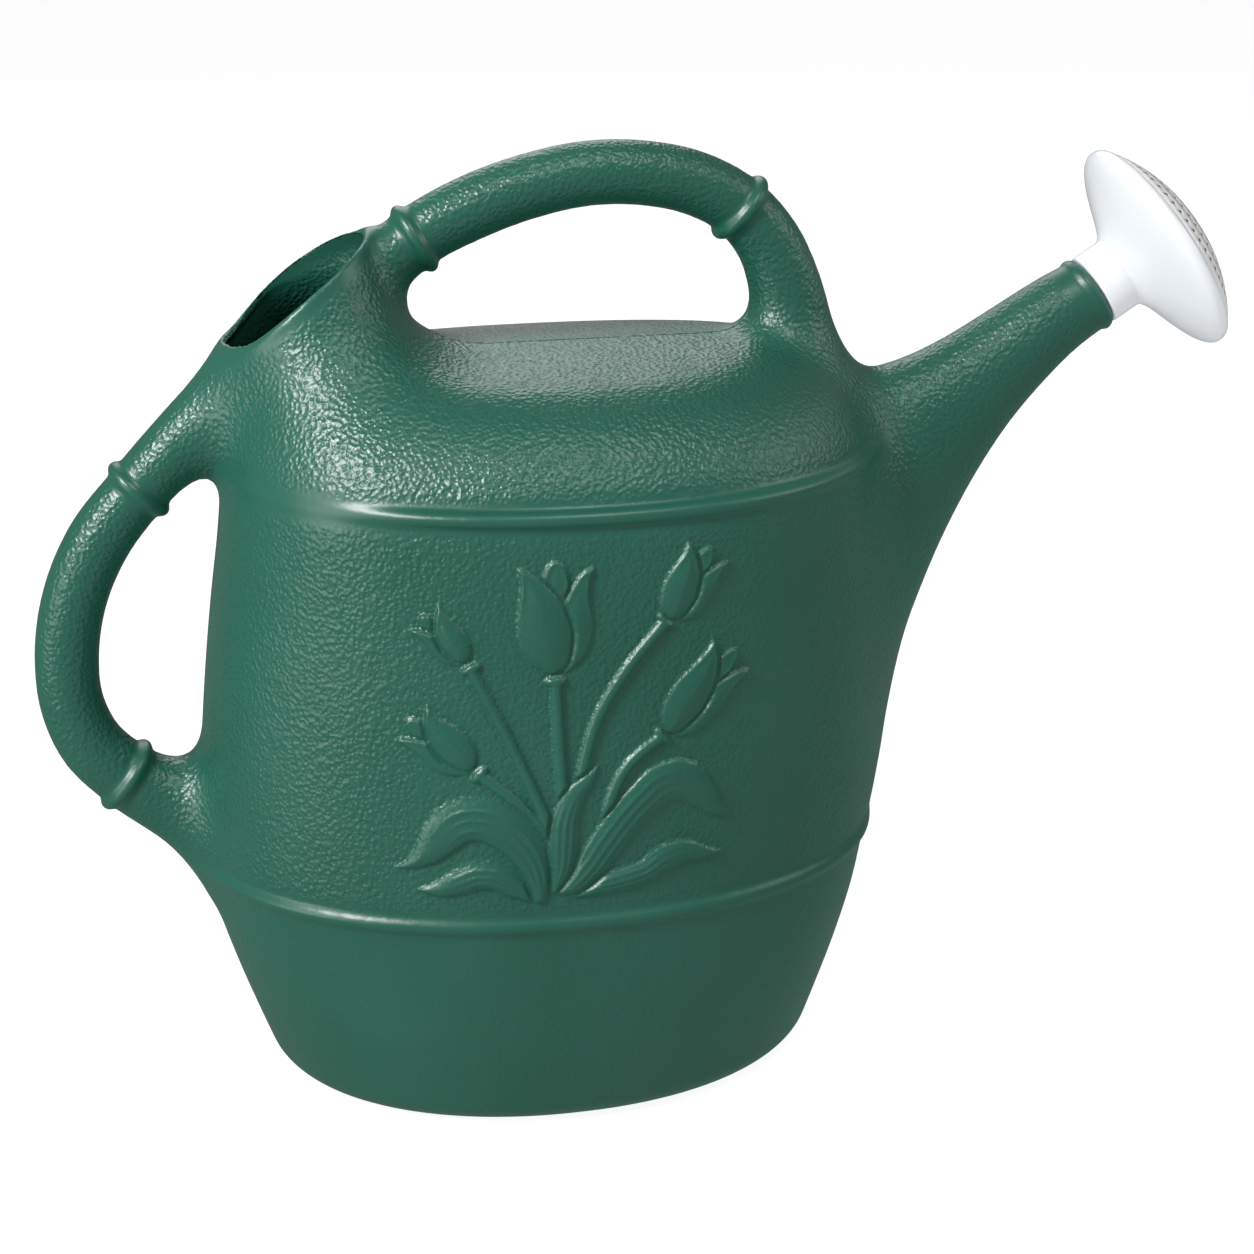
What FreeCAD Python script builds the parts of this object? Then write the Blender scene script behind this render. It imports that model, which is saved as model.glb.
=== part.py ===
import FreeCAD, Part
import math
import os

# Watering can, in millimetres.  The origin is the centre of the foot, on the floor.
# +X points to the spout, +Z is up, and the XZ plane is the mould's parting plane.
# Each half of the blow-moulded can mirrors the other across that plane.

V = FreeCAD.Vector

# ---- driving dimensions -------------------------------------------------------------
WALL = 2.0                 # moulded wall
FOOT_LENGTH = 180.0        # oval foot on the floor
FOOT_DEPTH = 134.0
LOWER_BEAD_Z = 87.8        # height of the lower bead
LOWER_LENGTH = 253.0       # wall length and depth at the lower bead
LOWER_DEPTH = 189.0
UPPER_BEAD_Z = 234.6       # height of the upper bead
UPPER_LENGTH = 235.0
UPPER_DEPTH = 185.6
UPPER_SHIFT = 7.4          # the tank leans towards the spout by this much at the upper bead
CROWN_Z = 274.0            # flat top under the carrying handle
CROWN_LENGTH = 150.0
CROWN_DEPTH = 100.0
BEAD_RADIUS = 2.2          # round beads on the wall, the handles and the spout rim

MOUTH_LENGTH = 61.0        # filler opening, measured along its slope
MOUTH_WIDTH = 54.0
MOUTH_X = -82.7            # centre of the filler opening
MOUTH_Z = 295.0
MOUTH_TILT = 37.0          # slope of the opening above level, degrees
MOUTH_LIP = 2.5            # width of the rim around the opening

GRIP_RADIUS = 11.5         # both handles
SPOUT_TILT = 32.5          # the end of the spout and the rose point this far above level
SPOUT_END_X = 214.4        # centre of the spout's front edge
SPOUT_END_Z = 282.9
SPOUT_END_RADIUS = 13.8
BORE_RADIUS = 11.6         # straight bore that takes the rose's spigot
BORE_DEPTH = 26.0

SPIGOT_RADIUS = 11.55
SPIGOT_LENGTH = 22.0
ROSE_WALL = 1.8
NECK_RADIUS = 14.0         # the bell starts as a short straight neck
NECK_LENGTH = 11.0
ROSE_RADIUS = 42.6
FLARE_END = 28.4           # the flare reaches its full radius this far from the spout's edge
ROSE_LENGTH = 32.0         # spout's edge to the seam between the bell and its face
SEAM_RADIUS = 40.2         # the bell's rim curls in to this radius at the seam
FACE_RADIUS = 39.6
FACE_EDGE = 0.8            # the face stands this far proud at its edge
FACE_RISE = 12.0           # height of the dome above that
FACE_WALL = 1.6
HOLE_RADIUS = 0.6
HOLE_PITCH = 4.2           # spacing of the spray holes round each ring
HOLE_RINGS = (0.0, 6.2, 12.4, 18.6, 24.8, 31.0, 36.6)

RELIEF_RISE = 2.5          # the tulips stand this far off the wall


# ---- helpers ------------------------------------------------------------------------
def oval(centre, long_dir, cross_dir, half_long, half_cross, points=24):
    """Closed smooth oval wire; points are spread by angle, so lofts stay untwisted."""
    ring = []
    for i in range(points):
        turn = 2.0 * math.pi * i / points
        ring.append(centre + long_dir * (half_long * math.cos(turn))
                    + cross_dir * (half_cross * math.sin(turn)))
    curve = Part.BSplineCurve()
    curve.interpolate(ring, PeriodicFlag=True)
    return Part.Wire(curve.toShape())


def level_loft(stations, inset=0.0):
    """Solid through level ovals, each (z, half length, half depth, centre x)."""
    wires = []
    for z, half_length, half_depth, centre_x in stations:
        wires.append(oval(V(centre_x, 0, z), V(1, 0, 0), V(0, 1, 0),
                          half_length - inset, half_depth - inset))
    return Part.makeLoft(wires, True, False)


def swept_loft(stations, inset=0.0):
    """Solid through ovals square to a path in the XZ plane.

    Each station is (x, z, heading in degrees, half height, half width).
    """
    wires = []
    for x, z, heading, half_height, half_width in stations:
        angle = math.radians(heading)
        up = V(-math.sin(angle), 0, math.cos(angle))
        wires.append(oval(V(x, 0, z), up, V(0, 1, 0),
                          half_height - inset, half_width - inset))
    return Part.makeLoft(wires, True, False)


def hollow_of(stations):
    """Hollow of a swept tube; it runs on past both end stations to open them."""
    longer = list(stations)
    for index, step in ((0, -3.0), (-1, 3.0)):
        x, z, heading, half_height, half_width = longer[index]
        angle = math.radians(heading)
        longer[index] = (x + step * math.cos(angle), z + step * math.sin(angle), heading,
                         half_height, half_width)
    return swept_loft(longer, WALL)


def ring_bead(x, z, heading, radius):
    """Round bead around a handle or the spout, square to its path."""
    angle = math.radians(heading)
    along = V(math.cos(angle), 0, math.sin(angle))
    return Part.makeTorus(radius, BEAD_RADIUS, V(x, 0, z), along)


def wall_bead(z, half_length, half_depth, centre_x):
    """Round bead that runs around the tank at one level."""
    path = oval(V(centre_x, 0, z), V(1, 0, 0), V(0, 1, 0), half_length, half_depth)
    start = path.Vertexes[0].Point
    section = Part.Wire(Part.makeCircle(BEAD_RADIUS, start, V(0, 1, 0)))
    return path.makePipeShell([section], True, False)


# ---- tank ---------------------------------------------------------------------------
def tank_stations():
    """Wall of the tank from the foot to the crown."""
    middle = [
        (6.0, FOOT_LENGTH / 2 + 13.0, FOOT_DEPTH / 2 + 13.0, 0.5),
        (45.0, 118.5, 89.0, 0.2),
        (LOWER_BEAD_Z, LOWER_LENGTH / 2, LOWER_DEPTH / 2, 0.0),
        (140.0, LOWER_LENGTH / 2 - 0.3, LOWER_DEPTH / 2 + 0.8, 2.6),
        (190.0, 122.6, 94.6, 5.1),
        (UPPER_BEAD_Z, UPPER_LENGTH / 2, UPPER_DEPTH / 2, UPPER_SHIFT),
    ]
    shoulder = []
    rise = CROWN_Z - UPPER_BEAD_Z
    for turn in (22.0, 45.0, 68.0):
        angle = math.radians(turn)
        half_length = CROWN_LENGTH / 2 + (UPPER_LENGTH - CROWN_LENGTH) / 2 * math.cos(angle)
        half_depth = CROWN_DEPTH / 2 + (UPPER_DEPTH - CROWN_DEPTH) / 2 * math.cos(angle)
        shoulder.append((UPPER_BEAD_Z + rise * math.sin(angle), half_length, half_depth,
                         UPPER_SHIFT))
    return middle + shoulder


def tank_outside():
    foot = (0.0, FOOT_LENGTH / 2, FOOT_DEPTH / 2, 0.5)
    crown = (CROWN_Z, CROWN_LENGTH / 2, CROWN_DEPTH / 2, UPPER_SHIFT)
    return level_loft([foot] + tank_stations() + [crown])


def tank_inside():
    foot = (WALL, FOOT_LENGTH / 2 + 2.0, FOOT_DEPTH / 2 + 2.0, 0.5)
    crown = (CROWN_Z - WALL, CROWN_LENGTH / 2, CROWN_DEPTH / 2, UPPER_SHIFT)
    return level_loft([foot] + tank_stations() + [crown], WALL)


def mouth_stations():
    """Raised neck that carries the filler opening, from inside the tank to its rim."""
    half_length = MOUTH_LENGTH / 2 + MOUTH_LIP
    half_width = MOUTH_WIDTH / 2 + MOUTH_LIP
    return [
        (-60.0, 216.0, 96.0, 44.0, 80.0),
        (-66.0, 244.0, 104.0, 41.0, 66.0),
        (-74.0, 271.0, 115.0, half_length + 3.0, half_width + 13.0),
        (MOUTH_X, MOUTH_Z, 90.0 + MOUTH_TILT, half_length, half_width),
    ]


def mouth_inside():
    """Hollow of the neck, carried on past the rim so that the opening is cut clean."""
    angle = math.radians(90.0 + MOUTH_TILT)
    beyond = (MOUTH_X + 8.0 * math.cos(angle), MOUTH_Z + 8.0 * math.sin(angle),
              90.0 + MOUTH_TILT, MOUTH_LENGTH / 2 + MOUTH_LIP, MOUTH_WIDTH / 2 + MOUTH_LIP)
    return swept_loft(mouth_stations() + [beyond], MOUTH_LIP)


def tank_filled():
    """Tank, neck and beads without their hollow, for trimming whatever grows out of them."""
    body = tank_outside().fuse(swept_loft(mouth_stations()))
    body = body.fuse(wall_bead(LOWER_BEAD_Z, LOWER_LENGTH / 2, LOWER_DEPTH / 2, 0.0))
    return body.fuse(wall_bead(UPPER_BEAD_Z, UPPER_LENGTH / 2, UPPER_DEPTH / 2, UPPER_SHIFT))


def tank():
    body = tank_filled()
    body = body.cut(tank_inside())
    body = body.cut(mouth_inside())
    for stations in (spout_stations()[:-1], top_handle_stations(), back_handle_stations()):
        body = body.cut(hollow_of(stations))
    return body


def tank_regions():
    """The tank in three regions that meet just above each bead: bowl, wall and shoulder."""
    body = tank()
    base_top = LOWER_BEAD_Z + 2.0 * BEAD_RADIUS
    wall_top = UPPER_BEAD_Z + 2.0 * BEAD_RADIUS
    regions = []
    for low, high in ((-1.0, base_top), (base_top, wall_top), (wall_top, 400.0)):
        slab = Part.makeBox(600.0, 400.0, high - low, V(-300.0, -200.0, low))
        regions.append(biggest_solid(body.common(slab)))
    return regions


# ---- handles ------------------------------------------------------------------------
def top_handle_stations():
    """Carrying handle from the neck, over the tank, down to the shoulder by the spout."""
    grip = GRIP_RADIUS
    return [
        (-56.0, 301.0, 42.0, 10.5, 12.5),
        (-41.4, 313.0, 33.0, grip, grip),
        (-22.0, 322.9, 23.0, grip, grip),
        (0.0, 330.2, 14.0, grip, grip),
        (20.0, 333.8, 5.0, grip, grip),
        (42.0, 333.2, -8.0, grip, grip),
        (60.0, 328.6, -21.0, grip, grip),
        (76.8, 319.6, -38.0, grip, grip),
        (88.5, 306.5, -61.0, 12.5, 12.0),
        (94.5, 291.0, -75.0, 14.5, 13.5),
        (97.5, 275.0, -81.0, 18.0, 17.0),
        (98.5, 256.0, -88.0, 21.0, 24.0),
    ]


def back_handle_stations():
    """Pouring handle from under the filler opening, round the back, to the lower wall."""
    grip = GRIP_RADIUS
    return [
        (-104.0, 262.0, 222.0, 15.0, 18.0),
        (-124.0, 245.0, 222.0, 13.0, 14.0),
        (-142.0, 227.6, 227.0, grip, grip),
        (-157.0, 209.8, 237.0, grip, grip),
        (-166.5, 190.0, 250.0, grip, grip),
        (-171.0, 168.0, 264.0, grip, grip),
        (-170.3, 148.0, 276.0, grip, grip),
        (-164.8, 133.0, 292.0, grip, grip),
        (-152.6, 119.8, 318.0, 12.0, grip),
        (-138.0, 109.0, 327.0, 15.0, 14.0),
        (-114.0, 95.0, 332.0, 22.0, 24.0),
    ]


def handle(stations, beads):
    """Hollow tube that starts at the tank's surface, with a bead near each end."""
    outside = swept_loft(stations)
    for x, z, heading in beads:
        outside = outside.fuse(ring_bead(x, z, heading, GRIP_RADIUS))
    hollow = outside.cut(hollow_of(stations))
    return biggest_solid(hollow.cut(tank_filled()))


def top_handle():
    return handle(top_handle_stations(), [(-41.4, 313.0, 31.0), (76.8, 319.6, -41.0)])


def back_handle():
    return handle(back_handle_stations(), [(-142.0, 227.6, 227.0), (-152.6, 119.8, 321.0)])


# ---- spout --------------------------------------------------------------------------
def along_spout(distance):
    """Point on the rose's axis, this far beyond the spout's front edge."""
    angle = math.radians(SPOUT_TILT)
    return V(SPOUT_END_X + distance * math.cos(angle), 0,
             SPOUT_END_Z + distance * math.sin(angle))


SPOUT_AXIS = V(math.cos(math.radians(SPOUT_TILT)), 0, math.sin(math.radians(SPOUT_TILT)))


def spout_stations():
    """Deep wedge at the tank's end wall that narrows to a round tube."""
    end = along_spout(0.0)
    neck = along_spout(-14.0)
    return [
        (104.0, 190.0, 5.0, 70.0, 44.0),
        (124.0, 199.0, 20.0, 60.0, 39.0),
        (142.0, 220.0, 33.0, 42.0, 31.0),
        (158.0, 236.5, 38.0, 29.0, 24.0),
        (173.0, 251.0, 38.0, 21.0, 18.5),
        (188.0, 264.0, 36.0, 16.5, 15.5),
        (neck.x, neck.z, SPOUT_TILT, 14.2, 14.0),
        (end.x, end.z, SPOUT_TILT, SPOUT_END_RADIUS, SPOUT_END_RADIUS),
    ]


def spout():
    bead = along_spout(-4.5)
    outside = swept_loft(spout_stations())
    outside = outside.fuse(ring_bead(bead.x, bead.z, SPOUT_TILT, SPOUT_END_RADIUS - 1.4))
    passage = hollow_of(spout_stations()[:-1])
    bore = Part.makeCylinder(BORE_RADIUS, BORE_DEPTH + 1.0, along_spout(-BORE_DEPTH),
                             SPOUT_AXIS)
    hollow = outside.cut(passage).cut(bore)
    return biggest_solid(hollow.cut(tank_filled()))


# ---- tulips on each side of the tank ------------------------------------------------
def leaf(points):
    """Flat outline through the given (x, z) points, closed and smooth."""
    curve = Part.BSplineCurve()
    curve.interpolate([V(x, 0, z) for x, z in points], PeriodicFlag=True)
    return Part.Face(Part.Wire(curve.toShape()))


def flower(tip_x, tip_z, base_x, base_z, width):
    """Tulip head: an upright cup with three petal tips, leaning from base to tip."""
    lean = V(tip_x - base_x, 0, tip_z - base_z)
    up = lean.normalize()
    side = V(up.z, 0, -up.x)
    height = math.hypot(tip_x - base_x, tip_z - base_z)
    outline = [(0.0, 0.0), (0.42, 0.16), (0.50, 0.42), (0.40, 0.72), (0.52, 1.0),
               (0.20, 0.86), (0.0, 1.02), (-0.20, 0.86), (-0.52, 1.0), (-0.40, 0.72),
               (-0.50, 0.42), (-0.42, 0.16)]
    points = []
    for across, along in outline:
        point = V(base_x, 0, base_z) + side * (across * width) + up * (along * height)
        points.append((point.x, point.z))
    return leaf(points)


def stem(start_x, start_z, end_x, end_z, bow, width=4.2):
    """Stem of even width that bows sideways between two points."""
    along = V(end_x - start_x, 0, end_z - start_z)
    side = V(along.z, 0, -along.x).normalize()
    middle = V((start_x + end_x) / 2, 0, (start_z + end_z) / 2) + side * bow
    edges = []
    for sign in (1, -1):
        shift = side * (sign * width / 2)
        edges.append((V(start_x, 0, start_z) + shift, middle + shift,
                      V(end_x, 0, end_z) + shift))
    left = Part.Arc(*edges[0]).toShape()
    right = Part.Arc(*edges[1]).toShape()
    foot = Part.makeLine(edges[0][0], edges[1][0])
    head = Part.makeLine(edges[0][2], edges[1][2])
    return Part.Face(Part.Wire(Part.__sortEdges__([left, head, right, foot])))


def tulip_outlines():
    """The bouquet, seen from the near side: five flowers on stems above five leaves."""
    return [
        flower(-9.5, 217.0, -10.8, 179.0, 25.0),
        flower(42.5, 219.5, 29.0, 199.5, 17.0),
        flower(56.0, 178.0, 28.0, 158.0, 20.0),
        flower(-54.0, 199.5, -41.0, 184.0, 13.5),
        flower(-59.0, 164.0, -39.0, 146.0, 16.0),
        stem(-10.8, 180.0, -8.5, 128.0, 0.6),
        stem(28.5, 200.0, -4.5, 138.0, -3.5),
        stem(27.5, 159.0, 5.0, 124.0, -2.5),
        stem(-41.0, 184.5, -13.0, 124.0, 1.0),
        stem(-39.0, 146.5, -13.5, 122.0, 1.0),
        leaf([(-66.0, 106.5), (-57.0, 128.0), (-46.0, 134.5), (-30.0, 126.0), (-16.0, 103.0),
              (-19.0, 98.0), (-34.0, 113.0), (-48.0, 113.0)]),
        leaf([(-59.5, 99.5), (-47.0, 107.5), (-35.0, 111.5), (-22.0, 104.0), (-18.0, 97.0),
              (-34.0, 100.5), (-46.0, 97.5)]),
        leaf([(2.5, 144.5), (-9.0, 134.0), (-15.0, 118.0), (-12.0, 100.0), (-5.0, 107.0),
              (-2.0, 124.0)]),
        leaf([(53.5, 119.5), (46.0, 137.0), (32.0, 144.0), (12.0, 131.0), (-12.0, 100.0),
              (-4.0, 97.5), (16.0, 120.0), (34.0, 123.0)]),
        leaf([(50.5, 107.0), (31.0, 115.0), (14.0, 108.0), (-8.0, 97.5), (4.0, 95.5),
              (22.0, 97.0), (38.0, 103.0)]),
    ]


def tulips(side):
    """Low relief on one side of the tank; side is -1 for the near side, 1 for the far."""
    skin = level_loft(tank_stations()[1:-2], -RELIEF_RISE)
    skin = skin.cut(tank_outside())
    plates = [face.extrude(V(0, side * 70.0, 0)) for face in tulip_outlines()]
    for plate in plates:
        plate.translate(V(0, side * 60.0, 0))
    bouquet = plates[0].fuse(plates[1:])
    return bouquet.common(skin)


# ---- rose ---------------------------------------------------------------------------
def revolved(profile):
    """Solid turned about the rose's axis from (distance, radius) points."""
    axis_point = along_spout(0.0)
    out = V(-SPOUT_AXIS.z, 0, SPOUT_AXIS.x)
    points = [axis_point + SPOUT_AXIS * s + out * r for s, r in profile]
    wire = Part.makePolygon(points + [points[0]])
    return Part.Face(wire).revolve(axis_point, SPOUT_AXIS, 360.0)


def bell_radius(distance):
    """Outside radius of the bell: a straight neck, then a flare like a trumpet."""
    t = (distance - NECK_LENGTH) / (FLARE_END - NECK_LENGTH)
    t = min(max(t, 0.0), 1.0)
    return NECK_RADIUS + (ROSE_RADIUS - NECK_RADIUS) * t * t * (3.0 - 2.0 * t)


def rose_bell():
    steps = 20
    outside = []
    inside = []
    last = FLARE_END + 0.6
    for i in range(steps + 1):
        distance = 0.3 + (last - 0.3) * i / steps
        outside.append((distance, bell_radius(distance)))
        thickness = ROSE_WALL * (1.0 + 1.4 * i / steps)
        inside.append((distance, bell_radius(distance - 2.0) - thickness))
    inside[0] = (0.3, SPIGOT_RADIUS - ROSE_WALL)
    for turn in (30.0, 60.0, 90.0):
        angle = math.radians(turn)
        outside.append((last + (ROSE_LENGTH - last) * math.sin(angle),
                        SEAM_RADIUS + (ROSE_RADIUS - SEAM_RADIUS) * math.cos(angle)))
    outside.append((ROSE_LENGTH, inside[-1][1]))
    spigot = [(-SPIGOT_LENGTH, SPIGOT_RADIUS - ROSE_WALL), (-SPIGOT_LENGTH, SPIGOT_RADIUS),
              (0.3, SPIGOT_RADIUS)]
    return revolved(spigot + outside + inside[::-1])


def face_height(radius):
    """Height of the outside of the domed face above the seam."""
    return FACE_EDGE + FACE_RISE * (1.0 - (radius / FACE_RADIUS) ** 2)


def rose_face():
    steps = 12
    outside = []
    inside = []
    for i in range(steps + 1):
        radius = FACE_RADIUS * i / steps
        outside.append((ROSE_LENGTH + face_height(radius), radius))
        inside.append((ROSE_LENGTH + max(face_height(radius) - FACE_WALL, 0.0), radius))
    dome = revolved(outside + inside[::-1])
    return dome.cut(spray_holes())


def spray_holes():
    """Rings of fine holes, drilled along the rose's axis."""
    across = V(0, 1, 0)
    out = V(-SPOUT_AXIS.z, 0, SPOUT_AXIS.x)
    drills = []
    for ring in HOLE_RINGS:
        count = max(1, round(2.0 * math.pi * ring / HOLE_PITCH))
        for i in range(count):
            turn = 2.0 * math.pi * i / count
            start = (along_spout(ROSE_LENGTH - 2.0) + across * (ring * math.cos(turn))
                     + out * (ring * math.sin(turn)))
            drills.append(Part.makeCylinder(HOLE_RADIUS, FACE_RISE + 8.0, start, SPOUT_AXIS))
    return Part.makeCompound(drills)


# ---- output -------------------------------------------------------------------------
def biggest_solid(shape):
    """The part itself, without slivers that a cut may leave."""
    return max(shape.Solids, key=lambda solid: solid.Volume)


def main():
    os.makedirs("parts", exist_ok=True)
    tank_base, tank_wall, tank_shoulder = tank_regions()
    nodes = {
        "tank_base": tank_base,
        "tank_wall": tank_wall,
        "tank_shoulder": tank_shoulder,
        "top_handle": top_handle(),
        "back_handle": back_handle(),
        "spout": spout(),
        "tulips_near": tulips(-1),
        "tulips_far": tulips(1),
        "rose_bell": rose_bell(),
        "rose_face": rose_face(),
    }
    for name, shape in nodes.items():
        shape.exportStep("parts/" + name + ".step")
        box = shape.BoundBox
        print(name, "solids", len(shape.Solids), "volume", round(shape.Volume / 1000.0, 1),
              "cm3 valid", shape.isValid(),
              [round(v, 1) for v in (box.XMin, box.XMax, box.YMin, box.YMax, box.ZMin, box.ZMax)])


main()
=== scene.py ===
import math

import bpy
import numpy as np
from mathutils import Matrix, Vector
from mathutils.geometry import delaunay_2d_cdt


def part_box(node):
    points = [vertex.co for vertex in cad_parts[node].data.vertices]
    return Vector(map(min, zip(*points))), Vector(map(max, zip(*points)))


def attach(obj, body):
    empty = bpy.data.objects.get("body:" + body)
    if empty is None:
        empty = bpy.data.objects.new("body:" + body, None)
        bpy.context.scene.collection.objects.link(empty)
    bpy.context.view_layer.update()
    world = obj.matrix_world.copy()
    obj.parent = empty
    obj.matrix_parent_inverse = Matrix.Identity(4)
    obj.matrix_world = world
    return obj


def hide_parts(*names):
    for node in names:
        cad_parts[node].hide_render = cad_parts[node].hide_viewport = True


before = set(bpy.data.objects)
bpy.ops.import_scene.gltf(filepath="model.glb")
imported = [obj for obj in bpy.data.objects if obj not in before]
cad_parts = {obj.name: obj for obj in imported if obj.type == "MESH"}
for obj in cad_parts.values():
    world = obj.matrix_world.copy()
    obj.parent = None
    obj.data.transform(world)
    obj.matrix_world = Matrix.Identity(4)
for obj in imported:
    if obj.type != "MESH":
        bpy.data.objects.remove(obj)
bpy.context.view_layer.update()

MM = 0.001

# The green can is one blow-moulded skin, so it is one smooth surface here: the zero level of a
# distance field in millimetres, meshed, refined where detail is small, and hollowed.  All of it
# is in the CAD frame: +X to the spout, +Z up, floor at z = 0.

# ---- sizes, millimetres ---------------------------------------------------------------
CAN_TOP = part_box("top_handle")[1][2] / MM      # top of the carrying handle
GRIP_RADIUS = 11.4
WALL = 2.2
OUTER_STEP = 2.6                               # mesh size of the outside
INNER_STEP = 3.4                               # mesh size of the hollow
WALL_BEAD_LEVELS = (87.8, 234.6)               # heights of the two beads round the tank
WALL_BEAD_RADIUS = 2.5
RING_BEAD_RADIUS = 2.3
LIP_RADIUS = 2.4                               # the bead round the spout's end
LIP_SET_BACK = 2.8
CROWN_Z = 274.3
CROWN_FALL = 0.08                              # slope of the crown down from its seam
SEAM_DEPTH = 0.4
SEAM_HALF_WIDTH = 0.45
SHOULDER_RADIUS = 40.0
FOOT_ROUND = 11.0
EDGE_ROUND = 0.8                               # edge of the filler's rim and the spout's end
NECK_BLEND = 26.0                              # reach of each blend into the tank
SPOUT_BLEND = 16.0
HANDLE_BLEND = 17.0
TIGHT_BLEND = 8.0                              # the carrying handle's, at the filler's neck
MOUTH = (-82.7, 295.0)                         # centre of the filler opening, (x, z)
MOUTH_TILT = math.radians(37.0)
MOUTH_HALF_LENGTH = 30.6
MOUTH_HALF_WIDTH = 30.0
MOUTH_ARCH = 3.6                               # the opening's edge bows up this much
SPOUT_TILT = 32.5                              # degrees; the spout's end and the rose point up
AXIS_TILT = math.radians(SPOUT_TILT)
AXIS = (math.cos(AXIS_TILT), math.sin(AXIS_TILT))
SPOUT_END = (214.4, 282.9)
SPOUT_END_RADIUS = 13.8
BORE_RADIUS = 11.9
FAR = 60.0                                     # distance given outside a feature's box


# ---- small numeric tools --------------------------------------------------------------
def smooth_curve(x, knots, values):
    """Smooth interpolation through (knots, values); cubic pieces with shared slopes."""
    knots = np.asarray(knots, float)
    values = np.asarray(values, float)
    steps = np.diff(knots)
    secants = np.diff(values) / steps
    slopes = np.empty_like(values)
    slopes[0] = secants[0]
    slopes[-1] = secants[-1]
    slopes[1:-1] = ((secants[:-1] * steps[1:] + secants[1:] * steps[:-1])
                    / (steps[:-1] + steps[1:]))
    x = np.clip(x, knots[0], knots[-1])
    i = np.clip(np.searchsorted(knots, x, side="right") - 1, 0, len(knots) - 2)
    t = (x - knots[i]) / steps[i]
    t2 = t * t
    t3 = t2 * t
    return ((2 * t3 - 3 * t2 + 1) * values[i] + (t3 - 2 * t2 + t) * steps[i] * slopes[i]
            + (3 * t2 - 2 * t3) * values[i + 1] + (t3 - t2) * steps[i] * slopes[i + 1])


def smooth_path(points, samples):
    """Evenly spread samples of a smooth curve through (x, z) points."""
    points = np.asarray(points, float)
    chord = np.r_[0.0, np.cumsum(np.hypot(*np.diff(points, axis=0).T))]
    at = np.linspace(0.0, chord[-1], samples)
    columns = [smooth_curve(at, chord, points[:, c]) for c in range(points.shape[1])]
    return np.stack(columns, axis=1)


def smooth_union(a, b, reach):
    gap = np.maximum(reach - np.abs(a - b), 0.0) / reach
    return np.minimum(a, b) - gap * gap * reach * 0.25


def round_cut(a, b, radius):
    """Intersection of two fields with an edge of this radius."""
    u = np.maximum(a + radius, 0.0)
    v = np.maximum(b + radius, 0.0)
    return np.minimum(np.maximum(a, b), -radius) + np.sqrt(u * u + v * v)


def smoothstep(low, high, x):
    t = np.clip((x - low) / (high - low), 0.0, 1.0)
    return t * t * (3.0 - 2.0 * t)


def path_distance(x, z, path):
    """Signed distance to a path in the XZ plane (positive on its left), and the fraction
    of its samples at the nearest point."""
    best = np.full(x.shape, 1e18)
    side = np.zeros(x.shape)
    where = np.zeros(x.shape)
    for i in range(len(path) - 1):
        ax, az = path[i][:2]
        dx, dz = path[i + 1][0] - ax, path[i + 1][1] - az
        px, pz = x - ax, z - az
        t = np.clip((px * dx + pz * dz) / max(dx * dx + dz * dz, 1e-9), 0.0, 1.0)
        ex, ez = px - t * dx, pz - t * dz
        d2 = ex * ex + ez * ez
        closer = d2 < best
        best = np.where(closer, d2, best)
        where = np.where(closer, i + t, where)
        side = np.where(closer, dx * pz - dz * px, side)
    return np.sqrt(best) * np.where(side >= 0.0, 1.0, -1.0), where


def oval_field(across, y, half_across, half_wide):
    """Approximate distance to an elliptic section."""
    size = np.sqrt((across / half_across) ** 2 + (y / half_wide) ** 2) + 1e-9
    slope = np.sqrt((across / half_across ** 2) ** 2 + (y / half_wide ** 2) ** 2) / size
    return (size - 1.0) / np.maximum(slope, 1.0 / np.maximum(half_across, half_wide))


# ---- the can's shape ------------------------------------------------------------------
TOP_HANDLE = smooth_path([
    (-60.0, 292.0, 12.5), (-52.0, 304.5, 11.2), (-41.4, 313.0, GRIP_RADIUS - 0.4),
    (-22.0, 322.8, GRIP_RADIUS), (0.0, 330.1, GRIP_RADIUS), (20.0, 333.7, GRIP_RADIUS),
    (42.0, 333.1, GRIP_RADIUS), (60.0, 328.9, GRIP_RADIUS), (76.8, 319.6, GRIP_RADIUS),
    (88.0, 306.3, 12.0), (94.2, 291.0, 13.2), (98.0, 274.0, 14.5), (100.0, 250.0, 17.0)], 56)
BACK_HANDLE = smooth_path([
    (-92.0, 268.0, 17.0), (-112.0, 256.0, 13.5), (-127.0, 243.0, 12.0),
    (-142.0, 227.9, GRIP_RADIUS - 0.3),
    (-157.0, 209.8, GRIP_RADIUS), (-166.5, 190.0, GRIP_RADIUS), (-171.0, 168.0, GRIP_RADIUS),
    (-170.2, 148.0, GRIP_RADIUS), (-164.6, 133.0, GRIP_RADIUS + 0.4),
    (-152.8, 119.8, 12.4), (-136.0, 108.0, 14.5), (-112.0, 94.0, 20.0)], 56)
SPOUT_TOP = smooth_path([
    (70.0, 256.0), (100.0, 256.0), (116.0, 256.0), (128.0, 257.2), (143.0, 261.0),
    (157.3, 267.2), (169.6, 274.0), (181.5, 281.0), (193.0, 287.6), (207.0, 294.5),
    (223.9, 305.3)], 40)
SPOUT_BOTTOM = smooth_path([
    (96.0, 66.0), (112.0, 76.0), (124.0, 88.0), (131.4, 106.5), (135.4, 125.0),
    (139.4, 141.0), (144.0, 157.0), (149.8, 173.0), (156.4, 189.0), (164.0, 204.5),
    (172.6, 219.8), (183.0, 235.2), (195.6, 249.8), (207.8, 261.5), (221.8, 271.3),
    (238.7, 282.1)], 48)
HUMP_FOOT = (-56.0, 210.0)                      # the neck under the filler opening
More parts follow.
